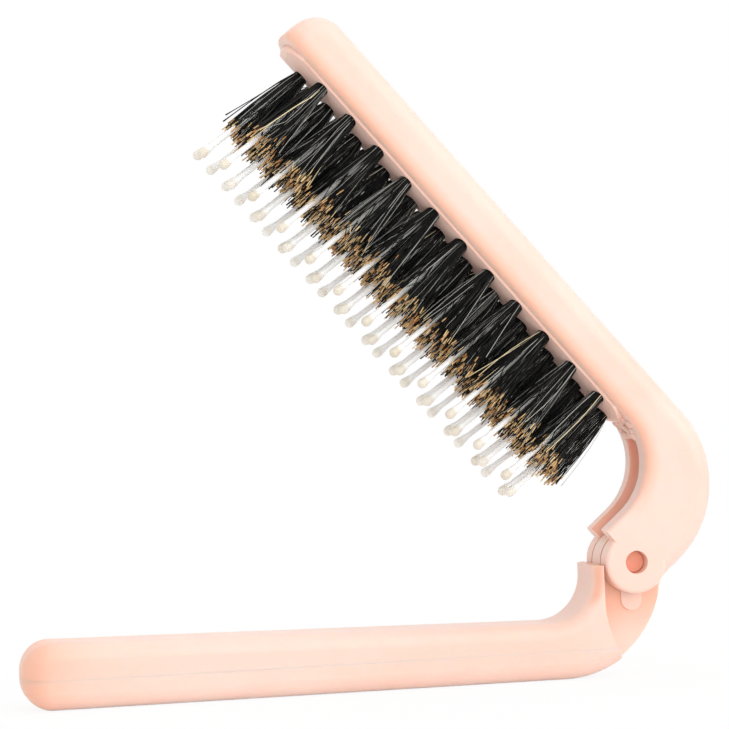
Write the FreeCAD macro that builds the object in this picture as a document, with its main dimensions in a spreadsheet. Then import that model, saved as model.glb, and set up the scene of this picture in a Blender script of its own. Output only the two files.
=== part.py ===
"""Folding travel brush: a crook-necked head hinged on a straight handle.

Millimetres, +Z up. The handle lies on its flat back along X with its free end at -X, the hinge
axis runs along Y, and the head stands half open above the handle.
"""
import FreeCAD, Part
import math
import os

import Sketcher
from FreeCAD import Placement, Rotation, Vector

doc = FreeCAD.newDocument("folding_brush")

# Driving dimensions
SIZES = {
    # whole brush
    "brush_width": 13.6,
    "rest_angle": 49,
    "hinge_height": 21.75,
    # hinge
    "boss_radius": 6,
    "boss_round": 0.8,
    "ear_proud": 0.3,
    "slot_width": 6,
    "slot_radius": 18.6,
    "slot_forward": 4.5,
    "slot_drop": 2.4,
    "tongue_thickness": 4.8,
    "tongue_radius": 6,
    "rib_width": 4.1,
    "rib_height": 0.3,
    "rib_near": 5.2,
    "rib_far": 9.4,
    "pin_radius": 2.2,
    "pin_recess": 2.2,
    "pin_chamfer": 0.3,
    "pin_press_gap": 0.01,
    "pin_running_gap": 0.05,
    "stop_reach": 8.5,
    "stop_height": 0.3,
    "shoulder_gap": 0.5,
    # head
    "head_reach": 118.3,
    "back_drop": 26.8,
    "rim_drop": 17.4,
    "neck_back_radius": 20,
    "neck_inner_radius": 12.6,
    "tip_back_margin": 2.2,
    "back_round": 3.8,
    "rim_round": 1.4,
    # bristle plate
    "plate_wall": 1.1,
    "plate_tip_wall": 1.6,
    "plate_start": 20.4,
    "plate_depth": 6.6,
    "plate_gap": 0.05,
    "plate_edge": 0.5,
    "plate_crown": 1.15,
    "plate_end_slope": 4.5,
    "plate_flat": 1.4,
    # tufts, pins and anchors
    "middle_count": 12,
    "first_tuft": 23.9,
    "tip_margin": 7.94,
    "side_inset": 2.7,
    "side_lean": 7.5,
    "hole_radius": 1.45,
    "hole_depth": 5.2,
    "tuft_gap": 0.05,
    "tuft_length": 16.8,
    "tuft_tip_radius": 3.3,
    "tuft_end_round": 1.2,
    "bristle_pin_radius": 0.55,
    "ball_radius": 0.95,
    "ball_taper": 2.4,
    "bristle_pin_length": 24.2,
    "pin_tilt": 5.2,
    "twin_offset": 0.68,
    "twin_lean": 4.5,
    "anchor_thickness": 0.4,
    "anchor_length": 2.4,
    "anchor_height": 1.5,
    # handle
    "handle_reach": 116.8,
    "end_thickness": 12.4,
    "bar_thickness": 10.75,
    "elbow_drop": 2,
    "arm_reach": 8.5,
    "arm_drop": 0.4,
    "arm_straight": 2.5,
    "end_flat": 1.4,
    "end_margin": 0.4,
    "handle_top_round": 3,
    "handle_back_round": 3.2,
    "seam_height": 5.6,
    "handle_wall": 2.1,
    "cavity_round": 2,
    "peg_count": 3,
    "peg_radius": 1.3,
    "peg_engage": 2.2,
    "peg_gap": 0.1,
    "socket_wall": 1.1,
}

sheet = doc.addObject("Spreadsheet::Sheet", "dims")
for row, (alias, value) in enumerate(SIZES.items(), start=1):
    sheet.set(f"A{row}", alias)
    sheet.set(f"B{row}", str(value))
    sheet.setAlias(f"B{row}", alias)
doc.recompute()


def dim(alias):
    """Value of one driving dimension, read from the sheet."""
    return float(sheet.get(alias))


# Places that follow from the driving dimensions, as expressions on the sheet
EAR_EDGE = "(dims.boss_radius + dims.ear_proud)"
NECK_CENTRE_X = f"(dims.neck_back_radius - {EAR_EDGE})"
NECK_CENTRE_DROP = "(dims.back_drop - dims.neck_back_radius)"
SHOULDER_X = "(dims.boss_radius + dims.shoulder_gap)"
SHOULDER_RADIUS = f"({NECK_CENTRE_X} + {SHOULDER_X})"
PLATE_END = "(dims.head_reach - dims.plate_tip_wall)"
PLATE_FLOOR_DROP = "(dims.rim_drop + dims.plate_depth)"
PLATE_EDGE_DROP = "(dims.rim_drop - dims.plate_edge)"
PLATE_TOP_DROP = "(dims.rim_drop - dims.plate_edge - dims.plate_crown)"
PLATE_HALF = "(dims.brush_width / 2 - dims.plate_wall)"
PLATE_ROUND = f"({PLATE_HALF} - dims.plate_flat / 2)"
SIDE_OFFSET = "(dims.brush_width / 2 - dims.side_inset)"
TIP_BACK_RADIUS = "(dims.back_round + dims.tip_back_margin)"
ELBOW_RADIUS = "(dims.hinge_height - dims.elbow_drop)"
ARM_INNER_RADIUS = "(dims.hinge_height - dims.bar_thickness - dims.arm_straight)"
END_RADIUS = "((dims.end_thickness - dims.end_flat) / 2)"
SEAM_DROP = "(dims.hinge_height - dims.seam_height)"
CAVITY_HALF = "(dims.brush_width / 2 - dims.handle_wall)"
CAVITY_ARM_END = f"(dims.arm_reach + {ARM_INNER_RADIUS})"
CAVITY_FREE_END = f"(dims.handle_reach - {END_RADIUS})"
CAVITY_RISE = "(dims.bar_thickness - dims.seam_height - dims.handle_wall)"
CAVITY_FALL = "(dims.seam_height - dims.handle_wall)"


def value_of(expression):
    """Number that an expression on the sheet works out to."""
    return float(sheet.evalExpression(expression.replace("dims.", "")))


# The hinge axis stands so that the whole brush is centred over the origin
head_turn = math.radians(180 - dim("rest_angle"))
neck_reach = (
    value_of(NECK_CENTRE_X) * math.cos(head_turn)
    + value_of(NECK_CENTRE_DROP) * math.sin(head_turn)
    + dim("neck_back_radius")
)
hinge_point = Vector((dim("handle_reach") - neck_reach) / 2, 0, dim("hinge_height"))
handle_place = Placement(hinge_point, Rotation())
head_place = Placement(hinge_point, Rotation(Vector(0, -1, 0), 180 - dim("rest_angle")))


def new_body(label):
    body = doc.addObject("PartDesign::Body", label)
    body.Label = label
    return body


def new_sketch(body, name, role, offset=None):
    """Sketch on one of the body's origin planes, lifted off it by an expression."""
    sketch = body.newObject("Sketcher::SketchObject", name)
    plane = next(item for item in body.Origin.OriginFeatures if item.Role == role)
    sketch.AttachmentSupport = [(plane, "")]
    sketch.MapMode = "FlatFace"
    if offset:
        sketch.setExpression("AttachmentOffset.Base.z", offset)
    return sketch


def line(sketch, start, end):
    return sketch.addGeometry(Part.LineSegment(Vector(*start, 0), Vector(*end, 0)))


def arc(sketch, centre, radius, start_degrees, end_degrees):
    circle = Part.Circle(Vector(*centre, 0), Vector(0, 0, 1), radius)
    return sketch.addGeometry(
        Part.ArcOfCircle(circle, math.radians(start_degrees), math.radians(end_degrees))
    )


def circle(sketch, centre, radius):
    return sketch.addGeometry(Part.Circle(Vector(*centre, 0), Vector(0, 0, 1), radius))


def join(sketch, kind, *points):
    """Constrain (element, point) pairs two by two: 1 is a start, 2 an end, 3 a centre."""
    for first, second in zip(points[::2], points[1::2]):
        sketch.addConstraint(Sketcher.Constraint(kind, *first, *second))


def straight(sketch, kind, *elements):
    for element in elements:
        sketch.addConstraint(Sketcher.Constraint(kind, element))


def size(sketch, kind, *where, by):
    """Dimension that follows an expression on the sheet."""
    index = sketch.addConstraint(Sketcher.Constraint(kind, *where, value_of(by)))
    sketch.setExpression(f"Constraints[{index}]", by)


ORIGIN = (-1, 1)


def on_upright_axis(sketch, *points):
    """Keep (element, point) pairs on the sketch's upright axis, which counts as element -2."""
    for element, point in points:
        sketch.addConstraint(Sketcher.Constraint("PointOnObject", element, point, -2))


def on_level_axis(sketch, *points):
    """Keep (element, point) pairs on the sketch's level axis, which counts as element -1."""
    for element, point in points:
        sketch.addConstraint(Sketcher.Constraint("PointOnObject", element, point, -1))


def left_of_origin(sketch, element, point, by):
    size(sketch, "DistanceX", element, point, *ORIGIN, by=by)


def right_of_origin(sketch, element, point, by):
    size(sketch, "DistanceX", *ORIGIN, element, point, by=by)


def below_origin(sketch, element, point, by):
    size(sketch, "DistanceY", element, point, *ORIGIN, by=by)


def above_origin(sketch, element, point, by):
    size(sketch, "DistanceY", *ORIGIN, element, point, by=by)


def settle(feature):
    """Recompute, and stop at a feature that did not build."""
    doc.recompute()
    if not feature.isValid() or feature.Shape.isNull():
        raise RuntimeError(f"{feature.Label} did not build: {feature.getStatusString()}")
    return feature


def pad(body, sketch, name, length, midplane=False, reverse=False):
    feature = body.newObject("PartDesign::Pad", name)
    feature.Profile = sketch
    feature.SideType = "Symmetric" if midplane else "One side"
    feature.Reversed = reverse
    feature.setExpression("Length", length)
    return settle(feature)


def pocket(body, sketch, name, length, midplane=False, reverse=False):
    """Cut that has to take material away."""
    before = body.Tip.Shape.Volume
    feature = body.newObject("PartDesign::Pocket", name)
    feature.Profile = sketch
    feature.SideType = "Symmetric" if midplane else "One side"
    feature.Reversed = reverse
    feature.setExpression("Length", length)
    settle(feature)
    if not feature.Shape.Volume < before:
        raise RuntimeError(f"{name} takes nothing away")
    return feature


def revolve(body, sketch, name, axis):
    feature = body.newObject("PartDesign::Revolution", name)
    feature.Profile = sketch
    feature.ReferenceAxis = (sketch, [axis])
    feature.Angle = 360
    return settle(feature)


def edges_where(shape, test):
    """Names of the edges whose middle point passes a test."""
    names = []
    for index, edge in enumerate(shape.Edges, start=1):
        middle = edge.valueAt((edge.FirstParameter + edge.LastParameter) / 2)
        if test(middle):
            names.append(f"Edge{index}")
    return names


def fillet(body, name, radius, test):
    base = body.Tip
    feature = body.newObject("PartDesign::Fillet", name)
    feature.Base = (base, edges_where(base.Shape, test))
    feature.setExpression("Radius", radius)
    return settle(feature)


def near(first, second):
    return abs(first - second) < 1e-4


def graded_fillet(base, name, radius_at, test):
    """Rounds the edges whose middle passes a test; radius_at gives the radius at each end."""
    feature = doc.addObject("Part::Fillet", name)
    feature.Base = base
    graded = []
    for index, edge in enumerate(base.Shape.Edges, start=1):
        start, end = edge.ParameterRange
        if test(edge.valueAt((start + end) / 2)):
            graded.append((index, radius_at(edge.valueAt(start)), radius_at(edge.valueAt(end))))
    feature.Edges = graded
    return settle(feature)


def body_on(base, label):
    """Body that goes on from a finished shape."""
    body = new_body(label)
    body.BaseFeature = base
    settle(body)
    return body


# Head shell: solid back with the crook neck, tray for the plate, slot and two ears
def head_outline(body):
    """Side view about the hinge axis: the tip lies to the right and the bristle side is up."""
    ear_edge = value_of(EAR_EDGE)
    neck_x = value_of(NECK_CENTRE_X)
    neck_z = -value_of(NECK_CENTRE_DROP)
    tip, back, rim = dim("head_reach"), -dim("back_drop"), -dim("rim_drop")
    stop_x, stop_z = dim("stop_reach"), dim("stop_height")
    inner, end = dim("neck_inner_radius"), value_of(TIP_BACK_RADIUS)
    sketch = new_sketch(body, "head_outline", "XZ_Plane")
    back_line = line(sketch, (tip - end, back), (neck_x, back))
    neck_back = arc(sketch, (neck_x, neck_z), dim("neck_back_radius"), 180, 270)
    ear_line = line(sketch, (-ear_edge, neck_z), (-ear_edge, stop_z))
    ear_top = line(sketch, (-ear_edge, stop_z), (stop_x, stop_z))
    stop_line = line(sketch, (stop_x, stop_z), (stop_x, rim + inner))
    neck_inner = arc(sketch, (stop_x + inner, rim + inner), inner, 180, 270)
    rim_line = line(sketch, (stop_x + inner, rim), (tip, rim))
    tip_line = line(sketch, (tip, rim), (tip, back + end))
    tip_arc = arc(sketch, (tip - end, back + end), end, 270, 360)
    join(sketch, "Coincident", (ear_line, 2), (ear_top, 1), (ear_top, 2), (stop_line, 1),
         (rim_line, 2), (tip_line, 1))
    join(sketch, "Tangent", (back_line, 2), (neck_back, 2), (neck_back, 1), (ear_line, 1),
         (stop_line, 2), (neck_inner, 1), (neck_inner, 2), (rim_line, 1),
         (tip_line, 2), (tip_arc, 2), (tip_arc, 1), (back_line, 1))
    straight(sketch, "Horizontal", back_line, ear_top, rim_line)
    straight(sketch, "Vertical", ear_line, stop_line, tip_line)
    size(sketch, "Radius", neck_back, by="dims.neck_back_radius")
    size(sketch, "Radius", neck_inner, by="dims.neck_inner_radius")
    size(sketch, "Radius", tip_arc, by=TIP_BACK_RADIUS)
    left_of_origin(sketch, ear_line, 1, by=EAR_EDGE)
    right_of_origin(sketch, stop_line, 1, by="dims.stop_reach")
    right_of_origin(sketch, tip_line, 1, by="dims.head_reach")
    below_origin(sketch, back_line, 1, by="dims.back_drop")
    below_origin(sketch, rim_line, 1, by="dims.rim_drop")
    above_origin(sketch, ear_top, 1, by="dims.stop_height")
    return sketch


def rounded_disc(body, radius, rounding, half_width):
    """Half section of a disc about the hinge axis, with rounded rims."""
    big, small, half = value_of(radius), value_of(rounding), value_of(half_width)
    sketch = new_sketch(body, "boss_section", "XY_Plane")
    axis_line = line(sketch, (0, half), (0, -half))
    low_face = line(sketch, (0, -half), (big - small, -half))
    low_round = arc(sketch, (big - small, -half + small), small, 270, 360)
    outside = line(sketch, (big, -half + small), (big, half - small))
    high_round = arc(sketch, (big - small, half - small), small, 0, 90)
    high_face = line(sketch, (big - small, half), (0, half))
    join(sketch, "Coincident", (axis_line, 2), (low_face, 1), (high_face, 2), (axis_line, 1))
    join(sketch, "Tangent", (low_face, 2), (low_round, 1), (low_round, 2), (outside, 1),
         (outside, 2), (high_round, 1), (high_round, 2), (high_face, 1))
    straight(sketch, "Horizontal", low_face, high_face)
    straight(sketch, "Vertical", outside)
    on_upright_axis(sketch, (axis_line, 1), (axis_line, 2))
    size(sketch, "Radius", low_round, by=rounding)
    size(sketch, "Radius", high_round, by=rounding)
    right_of_origin(sketch, outside, 1, by=radius)
    below_origin(sketch, axis_line, 2, by=half_width)
    above_origin(sketch, axis_line, 1, by=half_width)
    return sketch


def disc_sketch(body, name, role, radius, forward=None, drop=None, offset=None):
    """Circle set forward of the origin and dropped below it."""
    sketch = new_sketch(body, name, role, offset)
    place = (value_of(forward) if forward else 0, -value_of(drop) if drop else 0)
    ring = circle(sketch, place, value_of(radius))
    if forward:
        right_of_origin(sketch, ring, 3, by=forward)
        below_origin(sketch, ring, 3, by=drop)
    else:
        join(sketch, "Coincident", (ring, 3), ORIGIN)
    size(sketch, "Radius", ring, by=radius)
    return sketch


def rounded_rectangle(body, name, offset, low_x, high_x, half_width, rounding):
    """Rounded rectangle centred on the X axis, on a plane across Z; low_x and high_x may be
    given on the minus side by a leading minus sign."""
    low, high = value_of(low_x), value_of(high_x)
    half, small = value_of(half_width), value_of(rounding)
    sketch = new_sketch(body, name, "XY_Plane", offset)
    bottom = line(sketch, (low + small, -half), (high - small, -half))
    corner_1 = arc(sketch, (high - small, -half + small), small, 270, 360)
    right = line(sketch, (high, -half + small), (high, half - small))
    corner_2 = arc(sketch, (high - small, half - small), small, 0, 90)
    top = line(sketch, (high - small, half), (low + small, half))
    corner_3 = arc(sketch, (low + small, half - small), small, 90, 180)
    left = line(sketch, (low, half - small), (low, -half + small))
    corner_4 = arc(sketch, (low + small, -half + small), small, 180, 270)
    loop = [bottom, corner_1, right, corner_2, top, corner_3, left, corner_4]
    for first, second in zip(loop, loop[1:] + loop[:1]):
        join(sketch, "Tangent", (first, 2), (second, 1))
    straight(sketch, "Horizontal", bottom, top)
    straight(sketch, "Vertical", right, left)
    for corner in (corner_1, corner_2, corner_3, corner_4):
        size(sketch, "Radius", corner, by=rounding)
    for side, where in ((left, low_x), (right, high_x)):
        if value_of(where) < 0:
            left_of_origin(sketch, side, 1, by=f"-({where})")
        else:
            right_of_origin(sketch, side, 1, by=where)
    below_origin(sketch, bottom, 1, by=half_width)
    above_origin(sketch, top, 1, by=half_width)
    return sketch


def make_head_shell():
    body = new_body("head_shell")
    half = dim("brush_width") / 2
    pad(body, head_outline(body), "head_blank", "dims.brush_width", midplane=True)
    fillet(body, "back_edges", "dims.back_round",
           lambda p: near(p.z, -dim("back_drop")) and near(abs(p.y), half))
    fillet(body, "rim_edges", "dims.rim_round",
           lambda p: near(p.z, -dim("rim_drop")) and near(abs(p.y), half))
    boss = rounded_disc(body, "dims.boss_radius", "dims.boss_round", "dims.brush_width / 2")
    revolve(body, boss, "hinge_boss", "V_Axis")
    tray = rounded_rectangle(body, "tray_outline", f"-{PLATE_EDGE_DROP}", "dims.plate_start",
                             PLATE_END, PLATE_HALF, PLATE_ROUND)
    pocket(body, tray, "plate_tray", "dims.plate_depth + dims.plate_edge")
    slot = disc_sketch(body, "slot_outline", "XZ_Plane", "dims.slot_radius",
                       "dims.slot_forward", "dims.slot_drop")
    pocket(body, slot, "tongue_slot", "dims.slot_width", midplane=True)
    hole = disc_sketch(body, "pin_hole_outline", "XZ_Plane",
                       "dims.pin_radius + dims.pin_press_gap")
    pocket(body, hole, "pin_hole", "dims.brush_width * 2", midplane=True)
    body.Placement = head_place
    return body


# Bristle plate: domed block that fills the tray, drilled with blind holes for the tufts
def plate_side_view(body):
    """Side view of the plate: flat below, with ends that slope down in an arc."""
    gap, slope = dim("plate_gap"), dim("plate_end_slope")
    low, high = dim("plate_start") + gap, value_of(PLATE_END) - gap
    floor, edge = -value_of(PLATE_FLOOR_DROP), -value_of(PLATE_EDGE_DROP)
    top = -value_of(PLATE_TOP_DROP) + dim("plate_edge")
    rise = top - edge
    radius = (slope ** 2 + rise ** 2) / (2 * rise)
    spread = math.degrees(math.asin(slope / radius))
    sketch = new_sketch(body, "plate_side_view", "XZ_Plane")
    bottom = line(sketch, (low, floor), (high, floor))
    tip_end = line(sketch, (high, floor), (high, edge))
    tip_slope = arc(sketch, (high - slope, top - radius), radius, 90 - spread, 90)
    crest = line(sketch, (high - slope, top), (low + slope, top))
    neck_slope = arc(sketch, (low + slope, top - radius), radius, 90, 90 + spread)
    neck_end = line(sketch, (low, edge), (low, floor))
    join(sketch, "Coincident", (bottom, 2), (tip_end, 1), (tip_end, 2), (tip_slope, 1),
         (neck_slope, 2), (neck_end, 1), (neck_end, 2), (bottom, 1))
    join(sketch, "Tangent", (tip_slope, 2), (crest, 1), (crest, 2), (neck_slope, 1))
    straight(sketch, "Horizontal", bottom, crest)
    straight(sketch, "Vertical", tip_end, neck_end)
    right_of_origin(sketch, neck_end, 1, by="dims.plate_start + dims.plate_gap")
    right_of_origin(sketch, tip_end, 1, by=f"{PLATE_END} - dims.plate_gap")
    below_origin(sketch, bottom, 1, by=PLATE_FLOOR_DROP)
    below_origin(sketch, tip_end, 2, by=PLATE_EDGE_DROP)
    below_origin(sketch, neck_end, 1, by=PLATE_EDGE_DROP)
    below_origin(sketch, crest, 1, by=f"{PLATE_TOP_DROP} - dims.plate_edge")
    size(sketch, "DistanceX", tip_slope, 2, tip_end, 1, by="dims.plate_end_slope")
    size(sketch, "DistanceX", neck_end, 2, neck_slope, 1, by="dims.plate_end_slope")
    return sketch


CROWN_HALF = f"({PLATE_HALF} - dims.plate_gap)"
CROWN_RADIUS = f"(({CROWN_HALF} ^ 2 + dims.plate_crown ^ 2) / (2 * dims.plate_crown))"


def crown_cut(body):
    """Cross view of what is trimmed off above the dome of the plate."""
    radius, half = value_of(CROWN_RADIUS), value_of(CROWN_HALF)
    edge, top = -value_of(PLATE_EDGE_DROP), -value_of(PLATE_TOP_DROP)
    wide, high = half + dim("plate_wall"), top + 2 * dim("plate_edge")
    reach = math.degrees(math.asin(half / radius))
    sketch = new_sketch(body, "crown_cut", "YZ_Plane")
    dome = arc(sketch, (0, top - radius), radius, 90 - reach, 90 + reach)
    left_step = line(sketch, (-half, edge), (-wide, edge))
    left_side = line(sketch, (-wide, edge), (-wide, high))
    lid = line(sketch, (-wide, high), (wide, high))
    right_side = line(sketch, (wide, high), (wide, edge))
    right_step = line(sketch, (wide, edge), (half, edge))
    join(sketch, "Coincident", (dome, 2), (left_step, 1), (left_step, 2), (left_side, 1),
         (left_side, 2), (lid, 1), (lid, 2), (right_side, 1), (right_side, 2), (right_step, 1),
         (right_step, 2), (dome, 1))
    straight(sketch, "Horizontal", left_step, lid, right_step)
    straight(sketch, "Vertical", left_side, right_side)
    on_upright_axis(sketch, (dome, 3))
    size(sketch, "Radius", dome, by=CROWN_RADIUS)
    right_of_origin(sketch, dome, 1, by=CROWN_HALF)
    below_origin(sketch, dome, 1, by=PLATE_EDGE_DROP)
    right_of_origin(sketch, right_side, 1, by=f"{CROWN_HALF} + dims.plate_wall")
    left_of_origin(sketch, left_side, 1, by=f"{CROWN_HALF} + dims.plate_wall")
    below_origin(sketch, lid, 1, by=f"{PLATE_TOP_DROP} - 2 * dims.plate_edge")
    return sketch


def crown_at(across):
    """Height of the domed face at a distance from the middle line."""
    radius = value_of(CROWN_RADIUS)
    return -value_of(PLATE_TOP_DROP) - radius + math.sqrt(radius ** 2 - across ** 2)


def bristle_axis(along, across, lean):
    """Placement on the domed face, with Z out of the plate and leaning sideways by an angle."""
    return Placement(Vector(along, across, crown_at(across)), Rotation(Vector(1, 0, 0), -lean))


middle_count = int(dim("middle_count"))
tuft_pitch = (dim("head_reach") - dim("tip_margin") - dim("first_tuft")) / (middle_count - 1)
MIDDLE = [dim("first_tuft") + tuft_pitch * step for step in range(middle_count)]
SIDE = [(first + second) / 2 for first, second in zip(MIDDLE, MIDDLE[1:])]
SIDES = (-1, 1)


def tuft_seats():
    """Rows from the neck to the tip, each with the axes of its tufts."""
    rows = []
    for step, along in enumerate(MIDDLE):
        rows.append([bristle_axis(along, 0, 0)])
        if step < len(SIDE):
            rows.append([bristle_axis(SIDE[step], side * value_of(SIDE_OFFSET), side * dim("side_lean"))
                         for side in SIDES])
    return rows


def pin_axis(along, across, height, lean):
    """Placement of a pin: it leans sideways and is tilted towards the tip."""
    tilt = Rotation(Vector(0, 1, 0), dim("pin_tilt"))
    return Placement(Vector(along, across, height), tilt.multiply(Rotation(Vector(1, 0, 0), -lean)))


def pin_seats():
    """Rows of ball pin axes: one in each side tuft and a leaning pair in each middle tuft."""
    rows = []
    offset, lean = value_of(SIDE_OFFSET), dim("side_lean")
    for step, along in enumerate(MIDDLE):
        rows.append([pin_axis(along, side * dim("twin_offset"), crown_at(0), side * dim("twin_lean"))
                     for side in SIDES])
        if step < len(SIDE):
            rows.append([pin_axis(SIDE[step], side * offset, crown_at(offset), side * lean)
                         for side in SIDES])
    return rows


def make_bristle_plate():
    body = new_body("plate_blank")
    half = value_of(CROWN_HALF)
    ends = (dim("plate_start") + dim("plate_gap"), value_of(PLATE_END) - dim("plate_gap"))
    pad(body, plate_side_view(body), "plate_block", f"2 * {CROWN_HALF}", midplane=True)
    fillet(body, "plate_corners", f"{PLATE_ROUND} - dims.plate_gap",
           lambda p: (near(p.x, ends[0]) or near(p.x, ends[1])) and near(abs(p.y), half))
    pocket(body, crown_cut(body), "plate_dome", "dims.head_reach * 2", midplane=True)
    holes = []
    for axis in sum(tuft_seats(), []):
        hole = doc.addObject("Part::Cylinder", "tuft_hole")
        hole.setExpression("Radius", "dims.hole_radius")
        hole.setExpression("Height", "dims.hole_depth * 2")
        hole.Placement = axis.multiply(Placement(Vector(0, 0, -dim("hole_depth")), Rotation()))
        holes.append(hole)
    drill = doc.addObject("Part::Compound", "tuft_drill")
    drill.Links = holes
    plate = doc.addObject("Part::Cut", "bristle_plate")
    plate.Base = body
    plate.Tool = drill
    plate.Placement = head_place
    return plate


# Bristle forms: one tuft, one ball pin and one anchor, each upright on the plate's face
def tuft_section(body):
    """Half section: straight root in the hole, flare above it, rounded trim at the top."""
    root = dim("hole_radius") - dim("tuft_gap")
    depth, top = dim("hole_depth") - dim("tuft_gap"), dim("tuft_length")
    wide, trim = dim("tuft_tip_radius"), dim("tuft_end_round")
    sketch = new_sketch(body, "tuft_section", "XZ_Plane")
    core = line(sketch, (0, top), (0, -depth))
    floor = line(sketch, (0, -depth), (root, -depth))
    side = line(sketch, (root, -depth), (root, 0))
    flare = line(sketch, (root, 0), (wide, top - trim))
    shoulder = line(sketch, (wide, top - trim), (wide - trim, top))
    crest = line(sketch, (wide - trim, top), (0, top))
    loop = [core, floor, side, flare, shoulder, crest]
    for first, second in zip(loop, loop[1:] + loop[:1]):
        join(sketch, "Coincident", (first, 2), (second, 1))
    straight(sketch, "Horizontal", floor, crest)
    straight(sketch, "Vertical", side)
    on_upright_axis(sketch, (core, 1), (core, 2))
    on_level_axis(sketch, (side, 2))
    right_of_origin(sketch, side, 1, by="dims.hole_radius - dims.tuft_gap")
    below_origin(sketch, floor, 1, by="dims.hole_depth - dims.tuft_gap")
    above_origin(sketch, crest, 1, by="dims.tuft_length")
    right_of_origin(sketch, flare, 2, by="dims.tuft_tip_radius")
    above_origin(sketch, flare, 2, by="dims.tuft_length - dims.tuft_end_round")
    right_of_origin(sketch, shoulder, 2, by="dims.tuft_tip_radius - dims.tuft_end_round")
    return sketch


ANCHOR_TOP = "(dims.hole_depth - dims.tuft_gap * 2 - dims.anchor_height)"


def make_tuft_form():
    """Tuft folded over its anchor: the root has a notch that straddles the strip."""
    body = new_body("tuft_form")
    revolve(body, tuft_section(body), "tuft_flare", "V_Axis")
    notch = new_sketch(body, "anchor_notch", "YZ_Plane")
    half = dim("anchor_thickness") / 2 + dim("tuft_gap")
    low, high = -2 * dim("hole_depth"), -value_of(ANCHOR_TOP) + dim("tuft_gap")
    bottom = line(notch, (-half, low), (half, low))
    right = line(notch, (half, low), (half, high))
    top = line(notch, (half, high), (-half, high))
    left = line(notch, (-half, high), (-half, low))
    loop = [bottom, right, top, left]
    for first, second in zip(loop, loop[1:] + loop[:1]):
        join(notch, "Coincident", (first, 2), (second, 1))
    straight(notch, "Horizontal", bottom, top)
    straight(notch, "Vertical", right, left)
    right_of_origin(notch, right, 1, by="dims.anchor_thickness / 2 + dims.tuft_gap")
    left_of_origin(notch, left, 1, by="dims.anchor_thickness / 2 + dims.tuft_gap")
    below_origin(notch, bottom, 1, by="2 * dims.hole_depth")
    below_origin(notch, top, 1, by=f"{ANCHOR_TOP} - dims.tuft_gap")
    pocket(body, notch, "anchor_notch_cut", "4 * dims.hole_radius", midplane=True)
    return body


PIN_ROOT = f"({ANCHOR_TOP} - 3 * dims.tuft_gap)"


def make_ball_pin_form():
    """Nylon pin with a drop-shaped ball; its root stands on the anchor."""
    body = new_body("ball_pin_form")
    stem, ball = dim("bristle_pin_radius"), dim("ball_radius")
    centre, taper = dim("bristle_pin_length"), dim("ball_taper")
    root = value_of(PIN_ROOT)
    meet = math.degrees(math.asin((ball - stem) / taper))
    sketch = new_sketch(body, "ball_pin_section", "XZ_Plane")
    touch = (ball * math.cos(math.radians(meet)), centre - ball * math.sin(math.radians(meet)))
    core = line(sketch, (0, centre + ball), (0, -root))
    foot = line(sketch, (0, -root), (stem, -root))
    side = line(sketch, (stem, -root), (stem, centre - taper))
    cone = line(sketch, (stem, centre - taper), touch)
    drop = arc(sketch, (0, centre), ball, -meet, 90)
    join(sketch, "Coincident", (core, 2), (foot, 1), (foot, 2), (side, 1), (side, 2), (cone, 1),
         (drop, 2), (core, 1))
    join(sketch, "Tangent", (cone, 2), (drop, 1))
    straight(sketch, "Horizontal", foot)
    straight(sketch, "Vertical", side)
    on_upright_axis(sketch, (core, 1), (core, 2), (drop, 3))
    size(sketch, "Radius", drop, by="dims.ball_radius")
    right_of_origin(sketch, side, 1, by="dims.bristle_pin_radius")
    below_origin(sketch, foot, 1, by=PIN_ROOT)
    above_origin(sketch, drop, 3, by="dims.bristle_pin_length")
    above_origin(sketch, side, 2, by="dims.bristle_pin_length - dims.ball_taper")
    revolve(body, sketch, "ball_pin_turned", "V_Axis")
    return body


def make_anchor_form():
    """Flat metal strip that stands on edge at the bottom of its hole."""
    strip = doc.addObject("Part::Box", "anchor_form")
    strip.setExpression("Length", "dims.anchor_length")
    strip.setExpression("Width", "dims.anchor_thickness")
    strip.setExpression("Height", "dims.anchor_height")
    doc.recompute()
    return strip


def group_of(label, shapes):
    """Node of separate solids, placed with the head."""
    node = doc.addObject("Part::Feature", label)
    node.Label = label
    node.Shape = Part.makeCompound(shapes)
    node.Placement = head_place
    return node


def placed(shape, axis):
    copy = shape.copy()
    copy.Placement = axis
    return copy


def make_bristles():
    """One node for the tufts of each row, one for its ball pins, and one for all the anchors."""
    tuft, pin, anchor = make_tuft_form(), make_ball_pin_form(), make_anchor_form()
    bore_radius = dim("bristle_pin_radius") + dim("tuft_gap")
    bore = Part.makeCylinder(bore_radius, 2 * dim("bristle_pin_length"),
                             Vector(0, 0, -value_of(PIN_ROOT) - dim("tuft_gap")))
    seat = Placement(Vector(-dim("anchor_length") / 2, -dim("anchor_thickness") / 2,
                            dim("tuft_gap") - dim("hole_depth")), Rotation())
    nodes, strips = [], []
    for number, (tufts, pins) in enumerate(zip(tuft_seats(), pin_seats()), start=1):
        bores = [placed(bore, axis) for axis in pins]
        solids = [placed(tuft.Shape, axis).cut(bores).Solids[0] for axis in tufts]
        nodes.append(group_of(f"tuft_row_{number:02d}", solids))
        nodes.append(group_of(f"ball_pins_row_{number:02d}",
                              [placed(pin.Shape, axis) for axis in pins]))
        strips += [placed(anchor.Shape, axis.multiply(seat)) for axis in tufts]
    nodes.append(group_of("tuft_anchors", strips))
    return nodes


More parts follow.
